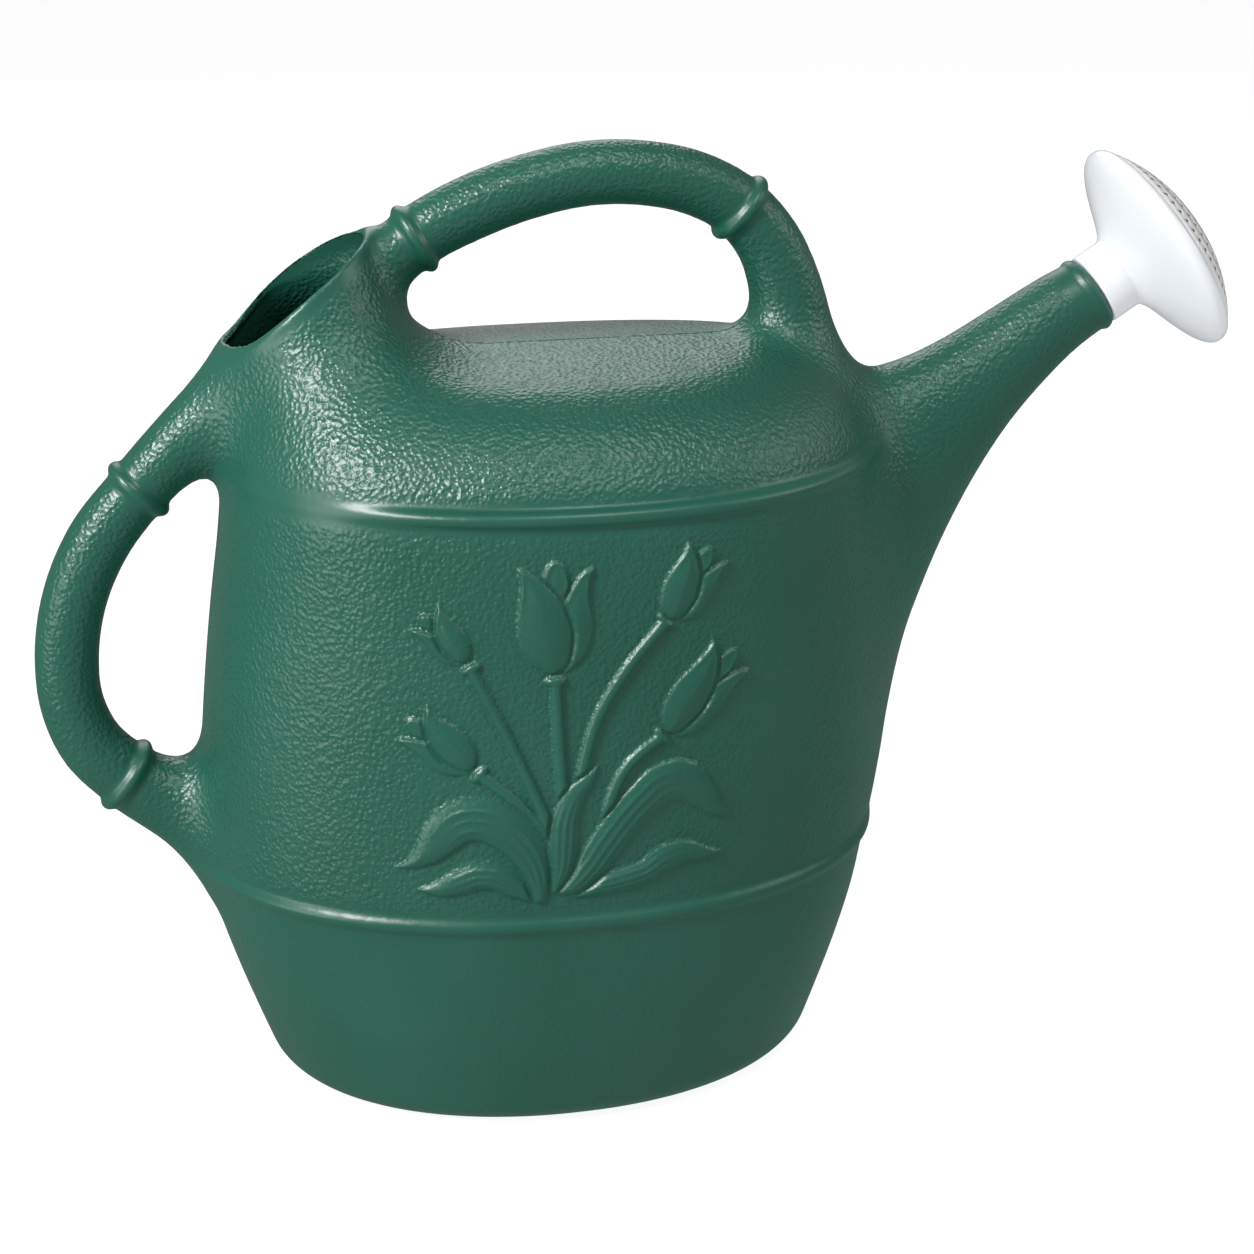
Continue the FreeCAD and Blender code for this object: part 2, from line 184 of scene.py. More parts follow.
RINGS = [(-41.4, 313.0, 31.0, 11.0), (76.8, 319.6, -41.0, 11.5),
         (-142.0, 227.9, 46.5, 11.0), (-152.8, 119.8, -38.0, 12.3)]


def tank_size(z):
    """Half length, half depth and centre of the tank's oval at a height."""
    knots = (-20.0, 0.0, 22.0, 45.0, 68.0, 87.8, 110.0, 140.0, 190.0, 234.6, 275.0, 300.0)
    half_length = smooth_curve(z, knots, (94.0, 101.2, 109.2, 117.0, 123.4, 126.8, 127.2,
                                          126.4, 122.9, 117.6, 112.5, 109.0))
    half_depth = smooth_curve(z, knots, (73.0, 79.0, 84.6, 89.6, 93.2, 94.6, 95.2,
                                         95.4, 94.8, 92.9, 90.2, 88.4))
    centre = smooth_curve(z, knots, (0.6, 0.6, 0.5, 0.4, 0.2, 0.0, 1.0,
                                     2.6, 5.1, 7.4, 8.4, 8.8))
    return half_length, half_depth, centre


def tank_side(x, y, z):
    """Distance to the tank's upright wall."""
    half_length, half_depth, centre = tank_size(z)
    power = 2.1
    u = np.abs((x - centre) / half_length) + 1e-9
    v = np.abs(y / half_depth) + 1e-9
    size = (u ** power + v ** power) ** (1.0 / power)
    slope = size ** (1.0 - power) * np.hypot(u ** (power - 1.0) / half_length,
                                             v ** (power - 1.0) / half_depth)
    return (size - 1.0) / slope


def mouth_height(x, z):
    """Distance above the bowed surface that the filler opening lies in."""
    flat = (-(x - MOUTH[0]) * math.sin(MOUTH_TILT) + (z - MOUTH[1]) * math.cos(MOUTH_TILT))
    return flat - MOUTH_ARCH * np.maximum(1.0 - ((mouth_along(x, z) - 6.0) / 38.0) ** 2, -0.5)


def mouth_along(x, z):
    """Distance up the slope from the middle of the filler opening."""
    return ((x - MOUTH[0]) * math.cos(MOUTH_TILT) + (z - MOUTH[1]) * math.sin(MOUTH_TILT))


def hump(x, y, z):
    """Neck that rises out of the shoulder and ends in the sloping filler opening."""
    dx, dz = MOUTH[0] - HUMP_FOOT[0], MOUTH[1] - HUMP_FOOT[1]
    length = math.hypot(dx, dz)
    along = ((x - HUMP_FOOT[0]) * dx + (z - HUMP_FOOT[1]) * dz) / length
    across = ((x - HUMP_FOOT[0]) * dz - (z - HUMP_FOOT[1]) * dx) / length
    half_across = smooth_curve(along, (-70.0, 0.0, 30.0, 60.0, length, 120.0),
                               (30.0, 36.0, 35.5, 32.0, 31.0, 29.0))
    half_wide = smooth_curve(along, (-70.0, 0.0, 30.0, 60.0, length, 120.0),
                             (40.0, 62.0, 60.0, 44.0, MOUTH_HALF_WIDTH + 1.9, 24.0))
    field = oval_field(across, y, half_across, half_wide)
    return round_cut(field, mouth_height(x, z), EDGE_ROUND)


def handle_field(x, y, z, path):
    distance, where = path_distance(x, z, path)
    radius = np.interp(where, np.arange(len(path)), path[:, 2])
    return np.sqrt(distance * distance + y * y) - radius


def spout_end_distance(x, z):
    """Distance beyond the spout's front edge, along the rose's axis."""
    return (x - SPOUT_END[0]) * AXIS[0] + (z - SPOUT_END[1]) * AXIS[1]


def spout_field(x, y, z):
    """Deep tapering blade between an upper and a lower edge curve."""
    above, _ = path_distance(x, z, SPOUT_TOP)
    below, _ = path_distance(x, z, SPOUT_BOTTOM)
    below = -below
    half_tall = np.maximum((-above - below) / 2.0, 6.0)
    offset = (above - below) / 2.0
    half_wide = smooth_curve(half_tall, (10.0, 13.8, 16.5, 22.0, 29.0, 39.0, 53.0, 75.0, 95.0),
                             (11.0, 13.8, 15.4, 18.4, 22.0, 28.5, 37.0, 46.0, 50.0))
    return oval_field(offset, y, half_tall, half_wide)


def torus_field(x, y, z, centre_x, centre_z, heading, ring, tube):
    """Distance to a round bead about a path that heads this many degrees above +X."""
    angle = math.radians(heading)
    along = (x - centre_x) * math.cos(angle) + (z - centre_z) * math.sin(angle)
    across = -(x - centre_x) * math.sin(angle) + (z - centre_z) * math.cos(angle)
    return np.hypot(np.hypot(across, y) - ring, along) - tube


def local_field(x, y, z, low, high, half_wide, field, *args):
    """Field of a local feature, worked out only between two (x, z) corners and two sides."""
    near = ((x > low[0]) & (x < high[0]) & (np.abs(y) < half_wide)
            & (z > low[1]) & (z < high[1]))
    out = np.full(x.shape, FAR)
    if near.any():
        out[near] = field(x[near], y[near], z[near], *args)
    return out


def bare_can(x, y, z):
    """The moulding without its beads, rings and tulips."""
    side = tank_side(x, y, z)
    crown = z - CROWN_Z + 0.0004 * y * y + CROWN_FALL * (np.sqrt(y * y + 1.0) - 1.0)
    tank = round_cut(side, crown, SHOULDER_RADIUS)
    neck = local_field(x, y, z, (-150.0, 120.0), (10.0, 340.0), 110.0, hump)
    body = smooth_union(tank, neck, NECK_BLEND)
    spout = local_field(x, y, z, (60.0, 40.0), (260.0, 330.0), 80.0, spout_field)
    body = smooth_union(body, spout, SPOUT_BLEND)
    top = local_field(x, y, z, (-110.0, 225.0), (150.0, 365.0), 60.0, handle_field, TOP_HANDLE)
    back = local_field(x, y, z, (-205.0, 60.0), (-60.0, 300.0), 60.0, handle_field, BACK_HANDLE)
    widening = (HANDLE_BLEND - TIGHT_BLEND) * smoothstep(-40.0, 40.0, x)
    body = smooth_union(body, top, TIGHT_BLEND + widening)
    body = smooth_union(body, back, HANDLE_BLEND)
    return round_cut(body, -z, FOOT_ROUND)


def outer_field(x, y, z):
    """Outside of the finished moulding."""
    body = bare_can(x, y, z)
    side = tank_side(x, y, z)
    for level in WALL_BEAD_LEVELS:
        bead = np.hypot(side + 0.5, z - level) - WALL_BEAD_RADIUS
        body = smooth_union(body, bead, 2.2)
    for centre_x, centre_z, heading, ring in RINGS:
        bead = torus_field(x, y, z, centre_x, centre_z, heading, ring, RING_BEAD_RADIUS)
        body = smooth_union(body, bead, 2.0)
    lip_x = SPOUT_END[0] - LIP_SET_BACK * AXIS[0]
    lip_z = SPOUT_END[1] - LIP_SET_BACK * AXIS[1]
    lip = torus_field(x, y, z, lip_x, lip_z, SPOUT_TILT, SPOUT_END_RADIUS - 1.3, LIP_RADIUS)
    body = smooth_union(body, lip, 0.9)
    body = body + SEAM_DEPTH * np.exp(-(y / SEAM_HALF_WIDTH) ** 2) * on_crown(x, z)
    body = round_cut(body, spout_end_distance(x, z), EDGE_ROUND)
    return np.maximum(body, mouth_rim(x, y, z))


def on_crown(x, z):
    """1 along the crown between the filler neck and the front foot of the handle, else 0."""
    return (smoothstep(-50.0, -38.0, x) * smoothstep(112.0, 104.0, x)
            * smoothstep(250.0, 262.0, z) * smoothstep(300.0, 290.0, z))


def mouth_rim(x, y, z):
    """Keeps the blends from closing over the filler opening: it is below 0 outside it."""
    opening = oval_field(mouth_along(x, z), y, MOUTH_HALF_LENGTH + 0.2, MOUTH_HALF_WIDTH + 0.2)
    return np.minimum(mouth_height(x, z), -opening)


def cavity_field(x, y, z):
    """The hollow: inside of the wall, carried out through the filler and the spout's bore."""
    hollow = bare_can(x, y, z) + WALL
    height = mouth_height(x, z)
    opening = oval_field(mouth_along(x, z), y, MOUTH_HALF_LENGTH, MOUTH_HALF_WIDTH)
    opening = np.maximum(np.maximum(opening, height - 14.0), -height - 9.0)
    beyond = spout_end_distance(x, z)
    across = -(x - SPOUT_END[0]) * AXIS[1] + (z - SPOUT_END[1]) * AXIS[0]
    bore = np.maximum(np.hypot(across, y) - BORE_RADIUS, np.abs(beyond + 10.0) - 20.0)
    hollow = np.maximum(hollow, beyond + 4.0)
    return np.minimum(np.minimum(hollow, opening), bore)


# ---- meshing a field ------------------------------------------------------------------
def grid_field(field, low, high, step):
    """Samples of a field that mirrors across y = 0."""
    axes = [np.arange(math.floor(low[c] / step), math.ceil(high[c] / step) + 1) * step
            for c in range(3)]
    near_y = axes[1][axes[1] <= 0.0]
    x, y, z = np.meshgrid(axes[0], near_y, axes[2], indexing="ij")
    half = field(x.ravel(), y.ravel(), z.ravel()).reshape(x.shape)
    whole = np.concatenate([half, half[:, -2::-1, :]], axis=1)
    origin = np.array([axes[0][0], near_y[0], axes[2][0]])
    return whole, origin


def surface_net(values, origin, step):
    """Closed mesh of the zero level, with one vertex in each cell that it crosses."""
    inside = values < 0.0
    count = np.zeros(tuple(n - 1 for n in values.shape), np.uint8)
    corners = [(i, j, k) for i in (0, 1) for j in (0, 1) for k in (0, 1)]
    for i, j, k in corners:
        count += inside[i:values.shape[0] - 1 + i, j:values.shape[1] - 1 + j,
                        k:values.shape[2] - 1 + k]
    cells = np.argwhere((count > 0) & (count < 8))
    number = np.full(count.shape, -1, np.int64)
    number[tuple(cells.T)] = np.arange(len(cells))
    total = np.zeros((len(cells), 3))
    crossings = np.zeros(len(cells))
    for axis in range(3):
        for start in [c for c in corners if c[axis] == 0]:
            end = list(start)
            end[axis] = 1
            a = values[tuple((cells + start).T)]
            b = values[tuple((cells + end).T)]
            cut = (a < 0.0) != (b < 0.0)
            t = np.where(cut, a / np.where(cut, a - b, 1.0), 0.0)
            point = np.tile(np.array(start, float), (len(cells), 1))
            point[:, axis] += t
            total += np.where(cut[:, None], point, 0.0)
            crossings += cut
    vertices = origin + (cells + total / crossings[:, None]) * step
    quads = []
    for axis in range(3):
        other = [c for c in range(3) if c != axis]
        sl_a = [slice(None)] * 3
        sl_b = [slice(None)] * 3
        sl_a[axis] = slice(0, -1)
        sl_b[axis] = slice(1, None)
        first = inside[tuple(sl_a)]
        second = inside[tuple(sl_b)]
        edges = np.argwhere(first != second)
        keep = np.all(edges[:, other] > 0, axis=1)
        edges = edges[keep]
        outward = first[tuple(edges.T)]
        ring = []
        for du, dv in ((-1, -1), (0, -1), (0, 0), (-1, 0)):
            cell = edges.copy()
            cell[:, other[0]] += du
            cell[:, other[1]] += dv
            ring.append(number[tuple(cell.T)])
        ring = np.stack(ring, axis=1)
        flip = outward if axis != 1 else ~outward
        ring[~flip] = ring[~flip][:, ::-1]
        quads.append(ring)
    quads = np.concatenate(quads)
    a, b, c, d = (vertices[quads[:, i]] for i in range(4))
    short = np.linalg.norm(a - c, axis=1) < np.linalg.norm(b - d, axis=1)
    first = np.where(short[:, None], quads[:, [0, 1, 2]], quads[:, [0, 1, 3]])
    second = np.where(short[:, None], quads[:, [0, 2, 3]], quads[:, [1, 2, 3]])
    return vertices, np.concatenate([first, second])


def gradient(field, points, size=0.15):
    x, y, z = points.T
    out = np.empty_like(points)
    for axis in range(3):
        shift = np.zeros(3)
        shift[axis] = size
        out[:, axis] = (field(x + shift[0], y + shift[1], z + shift[2])
                        - field(x - shift[0], y - shift[1], z - shift[2])) / (2.0 * size)
    return out


def onto_surface(field, points, rounds=3, most=1.5):
    """Moves points along the field's gradient until they lie on its zero level."""
    points = points.copy()
    for _ in range(rounds):
        value = field(*points.T)
        slope = gradient(field, points)
        move = -slope * (value / np.maximum((slope ** 2).sum(axis=1), 1e-6))[:, None]
        length = np.linalg.norm(move, axis=1, keepdims=True)
        points += move * np.minimum(1.0, most / np.maximum(length, 1e-9))
    return points


def rows(*columns):
    return np.stack(columns, axis=1)


def edge_table(triangles):
    """Unique edges, and the three edge numbers of each triangle."""
    pairs = np.sort(np.concatenate([triangles[:, [0, 1]], triangles[:, [1, 2]],
                                    triangles[:, [2, 0]]]), axis=1)
    edges, index = np.unique(pairs, axis=0, return_inverse=True)
    return edges, index.reshape(3, -1).T


def relaxed(vertices, triangles, rounds=2, share=0.5):
    """Evens out the triangles by moving each vertex towards its neighbours' middle."""
    edges, _ = edge_table(triangles)
    both = np.concatenate([edges, edges[:, ::-1]])
    degree = np.bincount(both[:, 0], minlength=len(vertices))
    for _ in range(rounds):
        total = np.stack([np.bincount(both[:, 0], vertices[both[:, 1], c], len(vertices))
                          for c in range(3)], axis=1)
        vertices = vertices + share * (total / degree[:, None] - vertices)
    return vertices


def refined(vertices, triangles, wanted):
    """Splits each edge longer than the wanted length at its middle, without cracks."""
    edges, of_triangle = edge_table(triangles)
    a, b = vertices[edges.T]
    middle = (a + b) / 2.0
    split = np.linalg.norm(a - b, axis=1) > wanted(middle)
    number = np.full(len(edges), -1)
    number[split] = len(vertices) + np.arange(split.sum())
    mids = number[of_triangle]
    cut = mids >= 0
    cuts = cut.sum(axis=1)
    out = [triangles[cuts == 0]]
    for turn in range(3):
        order = [(turn + i) % 3 for i in range(3)]
        t = triangles[:, order]
        m = mids[:, order]
        c = cut[:, order]
        one = (cuts == 1) & c[:, 0]
        out += [rows(t[one, 0], m[one, 0], t[one, 2]),
                rows(m[one, 0], t[one, 1], t[one, 2])]
        two = (cuts == 2) & c[:, 0] & c[:, 1]
        out += [rows(m[two, 0], t[two, 1], m[two, 1]),
                rows(t[two, 0], m[two, 0], m[two, 1]),
                rows(t[two, 0], m[two, 1], t[two, 2])]
    three = cuts == 3
    t, m = triangles[three], mids[three]
    out += [rows(t[:, 0], m[:, 0], m[:, 2]), rows(m[:, 0], t[:, 1], m[:, 1]),
            rows(m[:, 2], m[:, 1], t[:, 2]), m]
    return np.concatenate([vertices, middle[split]]), np.concatenate(out), len(vertices)


def clipped(vertices, triangles, keep, field):
    """Cuts a mesh along keep = 0 and leaves the part where keep is above 0."""
    value = keep(*vertices.T)
    edges, of_triangle = edge_table(triangles)
    va, vb = value[edges.T]
    crossing = (va > 0.0) != (vb > 0.0)
    t = np.where(crossing, va / np.where(crossing, va - vb, 1.0), 0.0)[:, None]
    points = vertices[edges[:, 0]] * (1.0 - t) + vertices[edges[:, 1]] * t
    points = points[crossing]
    for _ in range(4):
        points = onto_surface(keep, points, 1, 0.6)
        points = onto_surface(field, points, 1, 0.6)
    number = np.full(len(edges), -1)
    number[crossing] = len(vertices) + np.arange(crossing.sum())
    mids = number[of_triangle]
    good = value[triangles] > 0.0
    kept = good.sum(axis=1)
    out = [triangles[kept == 3]]
    for turn in range(3):
        order = [(turn + i) % 3 for i in range(3)]
        t, m, g = triangles[:, order], mids[:, order], good[:, order]
        one = (kept == 1) & g[:, 0]
        out.append(rows(t[one, 0], m[one, 0], m[one, 2]))
        two = (kept == 2) & ~g[:, 0]
        out += [rows(m[two, 0], t[two, 1], t[two, 2]),
                rows(m[two, 0], t[two, 2], m[two, 2])]
    return compact(np.concatenate([vertices, points]), np.concatenate(out))


def compact(vertices, triangles):
    used, index = np.unique(triangles, return_inverse=True)
    return vertices[used], index.reshape(triangles.shape)


# ---- tulips in low relief ---------------------------------------------------------------
# A plain bouquet drawn on the wall in (x, z): five tulips on stems above five leaves.  Each
# shape gives the height that it stands off the wall.
FLOWERS = [                                     # base, top, half width, side of the front tip
    ((-10.6, 181.9), (-10.0, 218.9), 13.4, -1.0),
    ((29.6, 197.6), (43.4, 220.0), 9.6, -1.0),
    ((28.6, 156.9), (52.6, 182.1), 10.6, -1.0),
    ((-40.2, 186.1), (-53.6, 201.3), 7.2, 1.0),
    ((-39.0, 147.9), (-59.0, 164.1), 9.0, 1.0)]
STEMS = [
    [(-10.7, 179.2), (-9.9, 157.7), (-8.6, 131.7)],
    [(28.0, 197.7), (14.0, 181.7), (4.0, 165.7), (-3.6, 139.7)],
    [(26.6, 156.1), (14.0, 146.3), (8.4, 135.7), (5.6, 121.7)],
    [(-39.0, 184.1), (-26.6, 157.7), (-13.4, 125.7)],
    [(-37.0, 146.1), (-25.0, 135.7), (-13.6, 122.7)]]
LEAVES = [                                      # (x, z, half width) from the root to the tip
    [(-18.4, 98.6, 1.8), (-25.4, 103.6, 4.6), (-32.2, 107.8, 5.4), (-38.2, 108.2, 5.6),
     (-44.3, 105.8, 5.0), (-51.2, 103.0, 3.2), (-58.8, 102.6, 0.3)],
    [(-16.6, 99.6, 3.0), (-17.8, 109.3, 5.4), (-21.7, 118.2, 7.0), (-28.5, 125.6, 8.0),
     (-36.2, 129.4, 8.2), (-43.6, 128.6, 8.2), (-49.4, 123.4, 7.2), (-54.2, 117.2, 5.2),
     (-59.6, 112.6, 2.5), (-65.7, 110.2, 0.3)],
    [(-5.9, 99.8, 1.8), (3.2, 102.0, 3.7), (12.3, 103.6, 4.7), (20.7, 105.6, 4.8),
     (28.2, 109.8, 5.5), (34.9, 111.0, 4.6), (42.8, 109.2, 2.8), (50.4, 108.0, 0.3)],
    [(-12.6, 101.2, 1.0), (-5.9, 102.7, 3.4), (0.4, 109.0, 5.6), (6.8, 118.0, 6.6),
     (13.1, 126.1, 6.9), (19.5, 132.8, 7.2), (26.9, 138.2, 7.9), (33.9, 138.2, 8.0),
     (40.4, 132.8, 6.0), (46.0, 126.0, 3.2), (53.7, 121.4, 0.3)],
    [(-11.8, 101.6, 1.4), (-9.0, 110.8, 4.4), (-8.3, 119.4, 5.6), (-7.4, 129.0, 5.2),
     (-4.5, 136.5, 4.2), (0.0, 142.3, 2.7), (4.0, 147.6, 0.4)]]
RELIEF_LOW = (-72.0, 88.0)
RELIEF_HIGH = (66.0, 228.0)
RELIEF_STEP = 0.25
RELIEF_MOST = 2.9
STEM_RISE = 2.1
STEM_HALF_WIDTH = 2.1
COLLAR_RISE = 2.25
PETAL_RISES = (1.6, 2.0, 2.6)                   # of the bud, the back petal and the front one
LEAF_VEINS = (-0.42, 0.02, 0.46)                # places across the leaf, in half widths


def outline_depth(x, z, outline):
    """Distance inside a closed outline of (x, z) points, negative outside it."""
    closed = np.concatenate([outline, outline[:1]])
    distance = np.abs(path_distance(x, z, closed)[0])
    inside = np.zeros(x.shape, bool)
    for (ax, az), (bx, bz) in zip(closed[:-1], closed[1:]):
        if az != bz:
            crosses = (az > z) != (bz > z)
            inside ^= crosses & (x < ax + (z - az) * (bx - ax) / (bz - az))
    return np.where(inside, distance, -distance)


def laid_over(height, depth, top, edge=0.85, groove=1.5):
    """A shape laid over what is already there, with a groove pressed in around it."""
    around = 0.25 + 0.75 * smoothstep(0.0, groove, -depth)
    return np.where(depth > -0.15, top * smoothstep(-0.15, edge, depth), height * around)


def pillow(depth, radius, rise):
    """Rounded rise from an outline's edge that levels off this far inside it."""
    t = np.clip(depth / radius, 0.0, 1.0)
    return rise * t * (2.0 - t)


def with_stem(height, x, z, points):
    """A round stem, and the collar under its flower."""
    distance, _ = path_distance(x, z, smooth_path(points, 24))
    round_top = np.sqrt(np.clip(1.0 - (distance / STEM_HALF_WIDTH) ** 2, 0.0, 1.0))
    height = np.maximum(height, STEM_RISE * round_top)
    (cx, cz), (dx, dz) = points[0], points[1]
    length = math.hypot(dx - cx, dz - cz)
    along = ((x - cx) * (dx - cx) + (z - cz) * (dz - cz)) / length
    across = ((x - cx) * (dz - cz) - (z - cz) * (dx - cx)) / length
    collar = np.hypot(across / 3.9, (along - 0.4) / 1.9)
    return np.maximum(height, COLLAR_RISE * np.sqrt(np.clip(1.0 - collar ** 2, 0.0, 1.0)))


def with_leaf(height, x, z, points):
    """A leaf laid over the rest: a ribbon with a raised edge and fine veins."""
    path = smooth_path(points, 40)
    distance, where = path_distance(x, z, path)
    half = np.interp(where, np.arange(len(path)), path[:, 2])
    depth = half - np.abs(distance)
    share = where / (len(path) - 1)
    body = pillow(depth, 6.0, 1.7) + 0.45 * smoothstep(0.0, 8.0, half) * (distance / 8.0)
    veins = np.zeros(x.shape)
    for place in LEAF_VEINS:
        from_vein = distance - place * half
        veins += np.exp(-(from_vein / 0.55) ** 2)
    fade = smoothstep(0.02, 0.12, share) * smoothstep(0.80, 0.50, share)
    fade = fade * smoothstep(2.5, 4.5, half)
    body = body + 0.50 * veins * fade - 0.20 * fade
    return laid_over(height, depth, np.maximum(body, 0.0) + 0.65)


def with_flower(height, x, z, base, top, half_width, front):
    """A tulip head: a bud, a back petal and a broad front petal, each laid over the last."""
    up = np.array(top) - np.array(base)
    tall = np.hypot(*up)
    up = up / tall
    side = np.array([up[1], -up[0]]) * front

    def petal(points):
        """Closed outline; points are (across, along) in half widths and heights."""
        path = smooth_path(points, 36)
        return (np.array(base) + path[:, :1] * half_width * side + path[:, 1:2] * tall * up)

    bud = petal([(-0.30, 0.62), (-0.36, 0.84), (-0.24, 1.00), (0.00, 1.06), (0.24, 1.00),
                 (0.36, 0.84), (0.30, 0.62)])
    back = petal([(-1.04, 1.00), (-0.66, 0.95), (-0.34, 0.78), (-0.10, 0.55), (0.05, 0.20),
                  (-0.10, 0.01), (-0.52, 0.06), (-0.90, 0.26), (-0.98, 0.48),
                  (-0.87, 0.72), (-0.90, 0.88), (-1.04, 1.00)])
    broad = petal([(1.02, 1.01), (0.60, 0.94), (0.12, 0.80), (-0.28, 0.58), (-0.45, 0.36),
                   (-0.36, 0.12), (-0.06, -0.01), (0.42, 0.03), (0.84, 0.20), (1.00, 0.44),
                   (0.92, 0.72), (0.90, 0.88), (1.02, 1.01)])
    share_up = ((x - base[0]) * up[0] + (z - base[1]) * up[1]) / tall
    top_edge = smoothstep(0.45, 0.80, share_up)
    round_over = 10.0 * half_width / 13.0 + 1.0
    for outline, rise in zip((bud, back, broad), PETAL_RISES):
        depth = outline_depth(x, z, outline)
        crown = pillow(depth, round_over, rise - 0.5) + 0.75
        rolled = 0.55 * np.exp(-((depth - 1.2) / 0.75) ** 2)
        height = laid_over(height, depth, crown + rolled * top_edge)
    return height


def relief_map():
    """The bouquet's height over a fine (x, z) grid."""
    x, z = np.meshgrid(np.arange(RELIEF_LOW[0], RELIEF_HIGH[0], RELIEF_STEP),
                       np.arange(RELIEF_LOW[1], RELIEF_HIGH[1], RELIEF_STEP), indexing="ij")
    shape = x.shape
    x, z = x.ravel(), z.ravel()
    height = np.zeros(x.shape)
    shapes = [(with_stem, points, [points]) for points in STEMS]
    shapes += [(with_flower, flower[:2], flower) for flower in FLOWERS]
    shapes += [(with_leaf, points, [points]) for points in LEAVES]
    for add_shape, span, details in shapes:
        low = np.min([point[:2] for point in span], axis=0) - 16.0
        high = np.max([point[:2] for point in span], axis=0) + 16.0
        near = (x > low[0]) & (x < high[0]) & (z > low[1]) & (z < high[1])
        height[near] = add_shape(height[near], x[near], z[near], *details)
    height = height.reshape(shape)
    for _ in range(3):
        around = height[:-2, 1:-1] + height[2:, 1:-1] + height[1:-1, :-2] + height[1:-1, 2:]
        height[1:-1, 1:-1] = (4.0 * height[1:-1, 1:-1] + around) / 8.0
    return np.minimum(height, RELIEF_MOST)


RELIEF = relief_map()


def relief_height(x, z):
    """The bouquet's height at any point of either side of the tank."""
    u = np.clip((x - RELIEF_LOW[0]) / RELIEF_STEP, 0.0, RELIEF.shape[0] - 1.001)
    v = np.clip((z - RELIEF_LOW[1]) / RELIEF_STEP, 0.0, RELIEF.shape[1] - 1.001)
    i, j = u.astype(int), v.astype(int)
    s, t = u - i, v - j
    return ((RELIEF[i, j] * (1 - t) + RELIEF[i, j + 1] * t) * (1 - s)
            + (RELIEF[i + 1, j] * (1 - t) + RELIEF[i + 1, j + 1] * t) * s)


# ---- the can's mesh ---------------------------------------------------------------------
def trim_distance(x, y, z):
    """Distance to the nearest bead, ring, lip or filler rim."""
    near = np.minimum(*(np.abs(z - level) for level in WALL_BEAD_LEVELS))
    near = np.where(np.abs(tank_side(x, y, z)) < 7.0, near, 99.0)
    for centre_x, centre_z, heading, ring in RINGS:
        around = torus_field(x, y, z, centre_x, centre_z, heading, ring, 0.0)
        near = np.minimum(near, np.abs(around))
    lip = np.maximum(-6.0 - spout_end_distance(x, z), 0.0)
    opening = oval_field(mouth_along(x, z), y, MOUTH_HALF_LENGTH + 1.0, MOUTH_HALF_WIDTH + 1.0)
    rim = np.hypot(opening, mouth_height(x, z))
    return np.minimum(np.minimum(near, lip), rim)


def on_relief(x, y, z):
    return (np.abs(y) > 30.0) & (z > RELIEF_LOW[1]) & (z < RELIEF_HIGH[1])


def wanted_length(points):
    """Longest edge that the outer mesh may have at each point."""
    x, y, z = points.T
    length = np.where(trim_distance(x, y, z) < 4.5, 1.5, 99.0)
    length = np.where((np.abs(y) < 1.5) & (on_crown(x, z) > 0.0), 0.55, length)
    here = relief_height(x, z)
    relief = on_relief(x, y, z)
    for reach, step, longest in ((3.4, 0.05, 2.0), (1.8, 0.05, 1.3), (0.8, 0.16, 0.70)):
        change = np.zeros(x.shape)
        for turn in range(8):
            dx = reach * math.cos(turn * math.pi / 4.0)
            dz = reach * math.sin(turn * math.pi / 4.0)
            change = np.maximum(change, np.abs(relief_height(x + dx, z + dz) - here))
        length = np.where(relief & (change > step), np.minimum(length, longest), length)
    return length


def outer_mesh():
    """Outside of the moulding, open at the filler and the spout, with its tulips."""
    values, origin = grid_field(outer_field, (-190, -102, -4), (230, 102, CAN_TOP + 4),
                                OUTER_STEP)
    vertices, triangles = surface_net(values, origin, OUTER_STEP)
    vertices = onto_surface(outer_field, relaxed(vertices, triangles), 3)
    for _ in range(4):
        vertices, triangles, old = refined(vertices, triangles, wanted_length)
        fresh = onto_surface(outer_field, vertices[old:], 2, 0.8)
        vertices = np.concatenate([vertices[:old], fresh])
    vertices, triangles = clipped(vertices, triangles, cavity_field, outer_field)
    x, y, z = vertices.T
    raised = on_relief(x, y, z) & (relief_height(x, z) > 0.0)
    wall = vertices[raised]
    away = gradient(tank_side, wall)
    away /= np.linalg.norm(away, axis=1, keepdims=True)
    vertices[raised] = wall + away * relief_height(wall[:, 0], wall[:, 2])[:, None]
    return vertices, triangles


def cavity_mesh():
    """Inside of the moulding, facing the hollow, cut off where it would leave the outside."""
    values, origin = grid_field(cavity_field, (-186, -98, -2), (246, 98, CAN_TOP), INNER_STEP)
    vertices, triangles = surface_net(values, origin, INNER_STEP)
    vertices = onto_surface(cavity_field, relaxed(vertices, triangles), 3)

    def near_openings(points):
        x, y, z = points.T
        length = np.where(np.abs(mouth_height(x, z)) < 5.0, 1.6, 99.0)
        return np.where(spout_end_distance(x, z) > -6.0, 1.6, length)

    for _ in range(2):
        vertices, triangles, old = refined(vertices, triangles, near_openings)
        fresh = onto_surface(cavity_field, vertices[old:], 2, 0.8)
        vertices = np.concatenate([vertices[:old], fresh])

    def inside_wall(x, y, z):
        return -outer_field(x, y, z)

    vertices, triangles = clipped(vertices, triangles, inside_wall, cavity_field)
    return vertices, triangles[:, ::-1]


